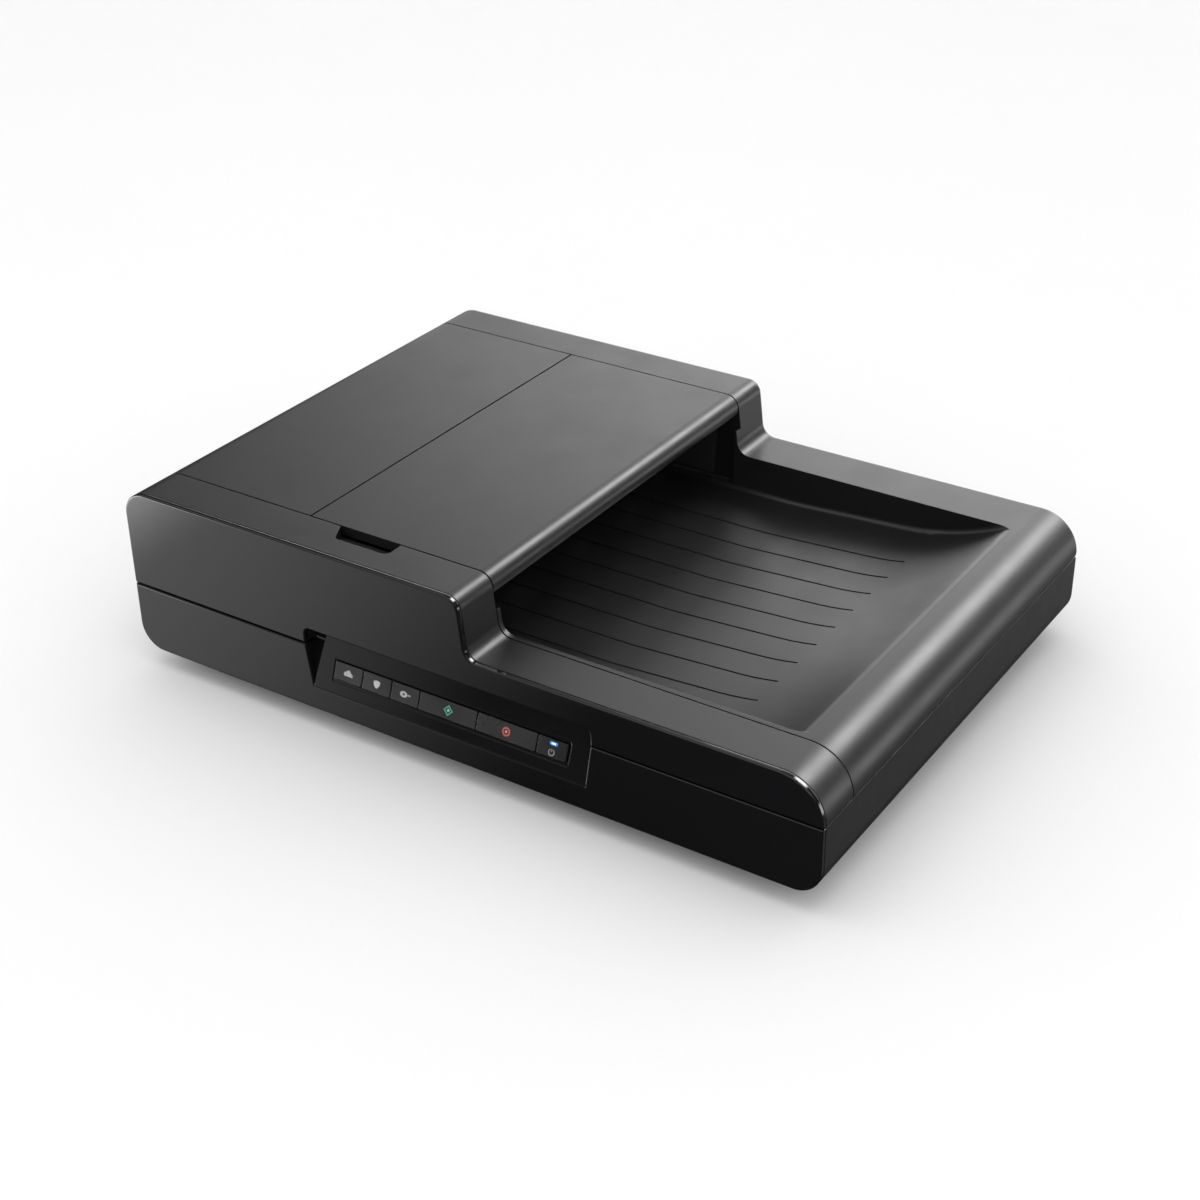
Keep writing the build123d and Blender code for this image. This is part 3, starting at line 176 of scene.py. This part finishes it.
def rubber(name, dark, light, roughness=(0.6, 0.8), scale=500.0):
    """Ground or moulded rubber with a fine rough surface."""
    material, nodes, links, shader = new_material(name)
    grain = noise(nodes, links, scale, 4.0, 0.7)
    dust = noise(nodes, links, 40.0, 4.0)
    links.new(tint(nodes, links, ramp(nodes, links, dust, 0, 1), dark, light), shader.inputs["Base Color"])
    links.new(ramp(nodes, links, grain, roughness[0], roughness[1]), shader.inputs["Roughness"])
    rounded = rounded_edges(nodes, 0.4 * MM)
    links.new(bump(nodes, links, grain, 0.5, 0.1 * MM, rounded), shader.inputs["Normal"])
    return material


def glass(name):
    """Clear platen glass: greenish body, slight wiping marks."""
    material, nodes, links, shader = new_material(name)
    marks = noise(nodes, links, 25.0, 5.0, 0.7, (1, 0.3, 1))
    shader.inputs["Base Color"].default_value = (0.86, 0.95, 0.91, 1)
    shader.inputs["Transmission Weight"].default_value = 1.0
    shader.inputs["IOR"].default_value = 1.5
    links.new(ramp(nodes, links, marks, 0.0, 0.05, 0.5, 0.8), shader.inputs["Roughness"])
    ripple = noise(nodes, links, 15.0, 1.0)
    links.new(bump(nodes, links, ripple, 0.02, 0.05 * MM), shader.inputs["Normal"])
    return material


def board(name):
    """Circuit board lacquer over a copper pattern."""
    material, nodes, links, shader = new_material(name)
    coords = nodes.new("ShaderNodeTexCoord")
    tracks = nodes.new("ShaderNodeTexBrick")
    tracks.inputs["Scale"].default_value = 180.0
    tracks.inputs["Color1"].default_value = (0.01, 0.1, 0.04, 1)
    tracks.inputs["Color2"].default_value = (0.015, 0.14, 0.05, 1)
    tracks.inputs["Mortar"].default_value = (0.03, 0.24, 0.09, 1)
    links.new(coords.outputs["Object"], tracks.inputs["Vector"])
    links.new(tracks.outputs["Color"], shader.inputs["Base Color"])
    lacquer = noise(nodes, links, 80.0)
    links.new(ramp(nodes, links, lacquer, 0.2, 0.4), shader.inputs["Roughness"])
    links.new(bump(nodes, links, tracks.outputs["Fac"], 0.3, 0.05 * MM), shader.inputs["Normal"])
    return material


def glow(name, colour, strength):
    """Lit icon: the light varies a little across its diffuser."""
    material, nodes, links, shader = new_material(name)
    cloud = noise(nodes, links, 400.0, 2.0)
    lit = tint(nodes, links, ramp(nodes, links, cloud, 0, 1), tuple(c * 0.85 for c in colour), colour)
    links.new(lit, shader.inputs["Base Color"])
    links.new(lit, shader.inputs["Emission Color"])
    shader.inputs["Emission Strength"].default_value = strength
    links.new(ramp(nodes, links, cloud, 0.25, 0.4), shader.inputs["Roughness"])
    return material


SHELL = plastic("shell_satin", (0.0065, 0.0065, 0.0068), (0.0085, 0.0085, 0.0088), (0.36, 0.42),
                0.35 * MM, 0.35, 0.25 * MM)
BASE = plastic("base_textured", (0.007, 0.007, 0.0073), (0.010, 0.010, 0.0104), (0.42, 0.52), 0.6 * MM, 0.6)
INNER = plastic("inner_moulding", (0.012, 0.012, 0.013), (0.018, 0.018, 0.019), (0.38, 0.5), 0.5 * MM, 0.4)
GREY = plastic("grey_moulding", (0.10, 0.105, 0.11), (0.14, 0.145, 0.15), (0.4, 0.5), 0.5 * MM, 0.3)
ACETAL = plastic("acetal_gear", (0.62, 0.61, 0.56), (0.7, 0.69, 0.64), (0.35, 0.45), 0.8 * MM, 0.15)
GLOSS = gloss("piano_black", (0.004, 0.004, 0.0045))
KEYS = plastic("key_satin", (0.006, 0.006, 0.0065), (0.009, 0.009, 0.0095), (0.22, 0.3), 0.4 * MM, 0.12)
STEEL = metal("zinc_steel", (0.55, 0.56, 0.58), (0.28, 0.42), (1, 0.05, 1))
RUBBER = rubber("black_rubber", (0.010, 0.010, 0.010), (0.02, 0.02, 0.02))
TYRE = rubber("roller_rubber", (0.09, 0.095, 0.10), (0.12, 0.125, 0.13))
GLASS = glass("float_glass")
BOARD = board("circuit_board")
WHITE = plastic("white_film", (0.74, 0.74, 0.73), (0.78, 0.78, 0.77), (0.3, 0.4), 0.7 * MM, 0.1)

BY_SLOT = {
    "shell_plastic": SHELL, "base_plastic": BASE, "front_gloss": GLOSS, "inner_plastic": INNER,
    "grey_plastic": GREY, "gear_plastic": ACETAL, "button_plastic": KEYS, "glass": GLASS, "white_pad": WHITE,
    "rubber": RUBBER, "roller_rubber": TYRE, "steel": STEEL, "board": BOARD,
}
for subpart in frame["record"]["subparts"]:
    mesh = NODES[subpart["node"]].data
    mesh.materials.clear()
    mesh.materials.append(BY_SLOT[subpart["material_slot"]])


# ---------------------------------------------------------------- printed button signs

JOINTS = {joint["name"]: joint for joint in frame["record"]["behaviour"]["joints"]}
INK = rubber("printed_ink", (0.36, 0.365, 0.37), (0.46, 0.465, 0.47), (0.35, 0.5), 2500.0)
GREY_INK = rubber("grey_ink", (0.20, 0.21, 0.22), (0.26, 0.27, 0.28), (0.35, 0.5), 2500.0)
GREEN_INK = rubber("green_ink", (0.02, 0.26, 0.16), (0.03, 0.33, 0.21), (0.35, 0.5), 2500.0)
RED_INK = rubber("red_ink", (0.50, 0.07, 0.04), (0.60, 0.10, 0.06), (0.35, 0.5), 2500.0)
LAMP = glow("blue_lamp", (0.03, 0.20, 0.60), 0.5)
LAMP_CORE = glow("white_lamp", (0.75, 0.88, 1.0), 0.8)
INK_THICK = 0.05 * MM
INK_ROOT = 0.01 * MM     # how far the print reaches into the button's face
FACE_DEPTH = 0.3 * MM    # points this close to the highest one belong to a button's face


def finish_piece(shape, name, material, body):
    """Turns a bmesh into a named piece that rides on a body."""
    mesh = bpy.data.meshes.new(name)
    shape.to_mesh(mesh)
    shape.free()
    mesh.materials.append(material)
    piece = bpy.data.objects.new(name, mesh)
    bpy.context.scene.collection.objects.link(piece)
    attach(piece, body)
    return piece


def key_face(node):
    """Middle of a button's face with its right, up and outward directions."""
    outward = -Vector(JOINTS[node + "_press"]["axis"]).normalized()
    right = Vector((1, 0, 0))
    up = outward.cross(right)
    points = [vertex.co for vertex in NODES[node].data.vertices]
    height = max(point.dot(outward) for point in points)
    xs = [point.x for point in points]
    rises = [point.dot(up) for point in points if point.dot(outward) > height - FACE_DEPTH]
    middle = right * (min(xs) + max(xs)) / 2 + up * (min(rises) + max(rises)) / 2 + outward * height
    return middle, right, up, outward


def ring_points(radius, count, squeeze=1.0, gap=0.0):
    """Circle or oval round the origin, in millimetres. A gap leaves an arc open at the top."""
    steps = count if gap == 0 else count - 1
    points = []
    for step in range(count):
        angle = pi / 2 + gap / 2 + (2 * pi - gap) * step / steps
        points.append((radius * cos(angle), radius * squeeze * sin(angle)))
    return points


def printed(name, node, material, outer, inner=None, shift=(0, 0), layer=1, is_open=False):
    """Thin raised print on a button: a filled outline, or the band between two outlines."""
    middle, right, up, outward = key_face(node)
    shape = bmesh.new()

    def place(point, lift):
        return middle + right * (point[0] + shift[0]) * MM + up * (point[1] + shift[1]) * MM + outward * lift

    foot = -INK_ROOT
    top = INK_THICK * layer
    rims = []
    for outline in (outer,) if inner is None else (outer, inner):
        rims.append([[shape.verts.new(place(point, lift)) for point in outline] for lift in (foot, top)])
    count = len(outer)
    spans = range(count - 1 if is_open else count)
    if inner is None:
        outline_foot, outline_top = rims[0]
        shape.faces.new(outline_top)
        shape.faces.new(list(reversed(outline_foot)))
        for step in spans:
            after = (step + 1) % count
            side = (outline_foot[step], outline_foot[after], outline_top[after], outline_top[step])
            shape.faces.new(side)
    else:
        (outer_foot, outer_top), (inner_foot, inner_top) = rims
        for step in spans:
            after = (step + 1) % count
            shape.faces.new((outer_top[step], outer_top[after], inner_top[after], inner_top[step]))
            shape.faces.new((outer_foot[after], outer_foot[step], inner_foot[step], inner_foot[after]))
            shape.faces.new((outer_foot[step], outer_foot[after], outer_top[after], outer_top[step]))
            shape.faces.new((inner_foot[after], inner_foot[step], inner_top[step], inner_top[after]))
        if is_open:
            for end in (0, count - 1):
                shape.faces.new((outer_foot[end], outer_top[end], inner_top[end], inner_foot[end]))
    bmesh.ops.recalc_face_normals(shape, faces=shape.faces[:])
    return finish_piece(shape, name, material, node)


def diamond(reach):
    """Square standing on a corner."""
    return [(0, reach), (-reach, 0), (0, -reach), (reach, 0)]


def bar_outline(wide, high):
    """Bar with rounded ends."""
    radius = high / 2
    straight = wide / 2 - radius
    angles = [pi / 2 + pi * step / 8 for step in range(9)]
    left = [(-straight + radius * cos(angle), radius * sin(angle)) for angle in angles]
    return left + [(-x, -y) for x, y in left]


# outlines and places of the signs, in millimetres from the middle of their button
START_SIGN_AT = (0.4, 0)
STOP_SIGN_AT = (-0.3, 0)
POWER_GAP = radians(50)
POWER_SIGN_AT = (-0.2, -2.2)
LAMP_AT = (0.5, 3.0)
cloud = [(3.0, -1.6), (3.3, -0.6), (2.6, 0.4), (1.7, 0.6), (1.2, 1.7), (0.2, 2.2), (-0.9, 1.9), (-1.5, 1.0),
         (-2.4, 0.9), (-3.2, 0.1), (-3.2, -1.0), (-2.6, -1.6)]
shield = [(2.3, 1.7), (1.2, 1.9), (0, 2.4), (-1.2, 1.9), (-2.3, 1.7), (-2.2, -0.2), (-1.3, -1.7), (0, -2.6),
          (1.3, -1.7), (2.2, -0.2)]
printed("sign_cloud", "job_button_1", INK, cloud)
printed("sign_shield", "job_button_2", INK, shield)
printed("sign_oval", "job_button_3", INK, ring_points(2.6, 40, 0.68), ring_points(0.9, 40, 0.6), (-0.9, 0))
printed("sign_oval_mark", "job_button_3", INK, bar_outline(1.8, 0.9), shift=(3.0, 0.1))
printed("sign_start", "start_button", GREEN_INK, diamond(3.3), diamond(2.1), START_SIGN_AT)
printed("sign_start_middle", "start_button", INK, diamond(1.1), shift=START_SIGN_AT)
printed("sign_stop", "stop_button", RED_INK, ring_points(2.7, 40), ring_points(1.6, 40), STOP_SIGN_AT)
printed("sign_stop_middle", "stop_button", INK, ring_points(0.8, 24), shift=STOP_SIGN_AT)
printed("sign_power", "power_button", GREY_INK, ring_points(2.1, 40, gap=POWER_GAP),
        ring_points(1.45, 40, gap=POWER_GAP), POWER_SIGN_AT, is_open=True)
printed("sign_power_bar", "power_button", GREY_INK, [(-0.3, 1.9), (-0.3, 0.2), (0.3, 0.2), (0.3, 1.9)],
        shift=POWER_SIGN_AT)
printed("lamp_bar", "power_button", LAMP, bar_outline(5.4, 2.2), shift=LAMP_AT, layer=3)
printed("lamp_core", "power_button", LAMP_CORE, bar_outline(2.8, 0.9), shift=LAMP_AT, layer=4)


# ---------------------------------------------------------------- platen pad

def pad_material(name, light, dark, pore, depth, roughness):
    """Pressed white film or fine-celled foam, a little dingy in patches."""
    material, nodes, links, shader = new_material(name)
    patches = noise(nodes, links, 14.0, 4.0, 0.6)
    cells = noise(nodes, links, 1.0 / pore, 3.0, 0.65)
    links.new(tint(nodes, links, ramp(nodes, links, patches, 0, 1), dark, light), shader.inputs["Base Color"])
    links.new(ramp(nodes, links, cells, roughness[0], roughness[1]), shader.inputs["Roughness"])
    links.new(bump(nodes, links, cells, depth, 0.2 * MM), shader.inputs["Normal"])
    shader.inputs["Sheen Weight"].default_value = 0.15
    return material


FILM = pad_material("pad_film", (0.80, 0.80, 0.79), (0.74, 0.74, 0.72), 1.5 * MM, 0.08, (0.32, 0.42))
FOAM = pad_material("pad_foam", (0.66, 0.66, 0.64), (0.55, 0.55, 0.53), 0.5 * MM, 0.9, (0.85, 0.95))


def ripple(x, y):
    """Gentle unevenness of a stuck-down foam sheet, from -1 to 1."""
    broad = sin(x * 41 + 1.3) * cos(y * 53 - 0.4)
    slanted = sin(x * 97 - y * 71)
    lengthwise = cos(x * 23 + y * 117)
    return 0.5 * broad + 0.3 * slanted + 0.2 * lengthwise


def side_borders(columns, rows):
    """Grid places round the rim of a sheet, in order."""
    front = [(column, 0) for column in range(columns)]
    right = [(columns, row) for row in range(rows)]
    rear = [(column, rows) for column in range(columns, 0, -1)]
    left = [(0, row) for row in range(rows, 0, -1)]
    return front + right + rear + left


def soft_sheet(name, low, high, material, crush, wave, pinch, replaced=None):
    """Soft sheet with round corners, uneven underneath.

    crush is the share of its thickness lost at the edge, wave the height of its unevenness,
    and pinch how far its sides draw in above and below their middle.
    """
    columns = 72
    rows = 52
    rings = 5
    edge = 5.0 * MM
    corner = 4.0 * MM
    shape = bmesh.new()
    middle = (low + high) / 2
    half = (high - low) / 2
    thick = high.z - low.z

    def rim(x, y):
        """0 at the edge of the sheet, 1 from edge inwards."""
        inside = min(x - low.x, high.x - x, y - low.y, high.y - y)
        share = max(0.0, min(1.0, inside / edge))
        return share * share * (3 - 2 * share)

    def plan(column, row):
        """Place seen from above: finer towards the edges, drawn in to a round corner."""
        x = low.x + (high.x - low.x) * (0.5 - 0.5 * cos(pi * column / columns))
        y = low.y + (high.y - low.y) * (0.5 - 0.5 * cos(pi * row / rows))
        over_x = max(0.0, abs(x - middle.x) - half.x + corner)
        over_y = max(0.0, abs(y - middle.y) - half.y + corner)
        reach = hypot(over_x, over_y)
        if reach > corner:
            x -= (1 - corner / reach) * over_x * (1 if x > middle.x else -1)
            y -= (1 - corner / reach) * over_y * (1 if y > middle.y else -1)
        return x, y

    top = {}
    under = {}
    for column in range(columns + 1):
        for row in range(rows + 1):
            x, y = plan(column, row)
            share = rim(x, y)
            top[column, row] = shape.verts.new((x, y, high.z))
            drop = thick * (1 - crush * (1 - share)) - wave * (0.5 + 0.5 * ripple(x, y)) * share
            under[column, row] = shape.verts.new((x, y, high.z - drop))
    for column in range(columns):
        for row in range(rows):
            cell = [(column, row), (column + 1, row), (column + 1, row + 1), (column, row + 1)]
            shape.faces.new([top[key] for key in cell])
            shape.faces.new([under[key] for key in reversed(cell)])
    border = side_borders(columns, rows)
    layers = [[top[key] for key in border]]
    for level in range(1, rings):
        share = level / rings
        layer = []
        for key in border:
            place = top[key].co.lerp(under[key].co, share)
            out = Vector((place.x - middle.x, place.y - middle.y, 0)).normalized()
            layer.append(shape.verts.new(place - out * pinch * (1 - sin(pi * share))))
        layers.append(layer)
    layers.append([under[key] for key in border])
    for above, below in zip(layers, layers[1:]):
        for step in range(len(border)):
            after = (step + 1) % len(border)
            shape.faces.new((above[after], above[step], below[step], below[after]))
    bmesh.ops.recalc_face_normals(shape, faces=shape.faces[:])
    for face in shape.faces:
        face.smooth = True
    sheet = finish_piece(shape, name, material, "lid")
    if replaced is not None:
        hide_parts(replaced)
    return sheet


pad_low, pad_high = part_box("platen_pad")
FILM_THICK = 0.3 * MM
FILM_OVERHANG = 0.4 * MM
foam_low = Vector((pad_low.x + FILM_OVERHANG, pad_low.y + FILM_OVERHANG, pad_low.z + FILM_THICK))
foam_high = Vector((pad_high.x - FILM_OVERHANG, pad_high.y - FILM_OVERHANG, pad_high.z))
film_high = Vector((pad_high.x, pad_high.y, pad_low.z + FILM_THICK))
soft_sheet("platen_pad_foam", foam_low, foam_high, FOAM, 0.22, 0.12 * MM, 0.25 * MM, "platen_pad")
soft_sheet("platen_pad_film", pad_low, film_high, FILM, 0.0, 0.06 * MM, 0.0)


# ---------------------------------------------------------------- studio

FLOOR_REACH = 6.0
FLOOR_GAP = 0.2 * MM     # keeps the floor clear of the feet
BACKDROP = 1.0           # brightness of the surroundings, as the camera sees them
AMBIENT = 1.0            # the same, for soft light


def heading(azimuth, elevation):
    """Direction at an azimuth from +Y towards +X and an elevation, both in degrees."""
    flat = cos(radians(elevation))
    return (sin(radians(azimuth)) * flat, cos(radians(azimuth)) * flat, sin(radians(elevation)))


REFLECTED = [
    # direction, full within, gone beyond (degrees), brightness
    (heading(0, 90), 0, 95, 0.25),
    (heading(18, 41), 5, 15, 19.0),
    (heading(-10, 4), 5, 40, 5.0),
    (heading(44, -6), 3, 12, 4.5),
    (heading(35, -25), 5, 35, 0.15),
    (heading(-126, -15), 4, 15, 13.0),
    (heading(-127, -15), 8, 26, 1.3),
    (heading(180, 10), 20, 80, 0.06),
    (heading(-143, 3), 1, 7, 0.5),
    (heading(180, 55), 5, 42, 1.2),
    (heading(90, 50), 5, 40, 0.8),
    (heading(-90, 45), 5, 35, 0.8),
]


def area_light(name, location, target, size, power):
    """Soft rectangular lamp that faces its target."""
    lamp = bpy.data.lights.new(name, "AREA")
    lamp.shape = "RECTANGLE"
    lamp.size, lamp.size_y = size
    lamp.energy = power
    holder = bpy.data.objects.new(name, lamp)
    bpy.context.scene.collection.objects.link(holder)
    holder.location = location
    holder.rotation_euler = (Vector(target) - Vector(location)).to_track_quat("-Z", "Y").to_euler()
    return holder


def studio_floor():
    """Pale paper floor just under the feet."""
    mesh = bpy.data.meshes.new("floor")
    grid = bmesh.new()
    bmesh.ops.create_grid(grid, x_segments=2, y_segments=2, size=FLOOR_REACH)
    grid.to_mesh(mesh)
    grid.free()
    floor = bpy.data.objects.new("floor", mesh)
    floor.location.z = -FLOOR_GAP
    bpy.context.scene.collection.objects.link(floor)
    material, nodes, links, shader = new_material("paper_floor")
    fibre = noise(nodes, links, 3.0)
    links.new(tint(nodes, links, fibre, (0.9, 0.9, 0.9), (0.92, 0.92, 0.92)), shader.inputs["Base Color"])
    shader.inputs["Roughness"].default_value = 0.9
    mesh.materials.append(material)
    floor.visible_glossy = False


def world_lobe(nodes, links, direction, inner, outer, strength):
    """Soft bright patch of the surroundings, full within inner degrees of a direction and gone at outer."""
    coords = nodes.new("ShaderNodeTexCoord")
    towards = nodes.new("ShaderNodeVectorMath")
    towards.operation = "DOT_PRODUCT"
    towards.inputs[1].default_value = Vector(direction).normalized()
    links.new(coords.outputs["Generated"], towards.inputs[0])
    fade = nodes.new("ShaderNodeMapRange")
    fade.interpolation_type = "SMOOTHSTEP"
    fade.inputs["From Min"].default_value = cos(radians(outer))
    fade.inputs["From Max"].default_value = cos(radians(inner))
    fade.inputs["To Max"].default_value = strength
    links.new(towards.outputs["Value"], fade.inputs["Value"])
    return fade.outputs["Result"]


def studio_world():
    """White for the camera, even grey for soft light, and dark with soft bright patches for reflections."""
    world = bpy.data.worlds.new("studio")
    bpy.context.scene.world = world
    world.use_nodes = True
    nodes, links = world.node_tree.nodes, world.node_tree.links
    back = nodes["Background"]
    back.inputs["Color"].default_value = (1, 1, 1, 1)
    reflected = None
    for direction, inner, outer, strength in REFLECTED:
        patch = world_lobe(nodes, links, direction, inner, outer, strength)
        if reflected is None:
            reflected = patch
        else:
            total = nodes.new("ShaderNodeMath")
            total.operation = "ADD"
            links.new(reflected, total.inputs[0])
            links.new(patch, total.inputs[1])
            reflected = total.outputs["Value"]
    path = nodes.new("ShaderNodeLightPath")
    soft = nodes.new("ShaderNodeMix")
    soft.inputs["A"].default_value = BACKDROP
    soft.inputs["B"].default_value = AMBIENT
    links.new(path.outputs["Is Diffuse Ray"], soft.inputs["Factor"])
    mix = nodes.new("ShaderNodeMix")
    links.new(path.outputs["Is Glossy Ray"], mix.inputs["Factor"])
    links.new(soft.outputs["Result"], mix.inputs["A"])
    links.new(reflected, mix.inputs["B"])
    links.new(mix.outputs["Result"], back.inputs["Strength"])


def camera_from_angles(azimuth, elevation, roll, distance, shift_right, shift_up, lens):
    """Camera on a sphere about the origin, moved sideways and up in its own plane."""
    back = Vector((sin(azimuth) * cos(elevation), -cos(azimuth) * cos(elevation), sin(elevation)))
    right = Vector((cos(azimuth), sin(azimuth), 0))
    up = back.cross(right)
    across = right * cos(roll) + up * sin(roll)
    above = -right * sin(roll) + up * cos(roll)
    place = back * distance + across * shift_right + above * shift_up
    data = bpy.data.cameras.new("camera")
    data.lens = lens
    data.sensor_width = 36.0
    data.clip_start = 0.05
    camera = bpy.data.objects.new("camera", data)
    camera.matrix_world = Matrix((
        (across.x, above.x, back.x, place.x),
        (across.y, above.y, back.y, place.y),
        (across.z, above.z, back.z, place.z),
        (0, 0, 0, 1),
    ))
    bpy.context.scene.collection.objects.link(camera)
    bpy.context.scene.camera = camera



studio_floor()
studio_world()
bpy.context.scene.view_settings.view_transform = "Standard"
camera_from_angles(azimuth=radians(33.5), elevation=radians(30.4), roll=radians(-0.77), distance=1.290,
                   shift_right=-0.007, shift_up=0.029, lens=61.95)
overhead = area_light("overhead", location=(0.0, -0.3, 1.8), target=(0, 0, 0), size=(1.6, 1.2), power=5)
overhead.visible_glossy = False
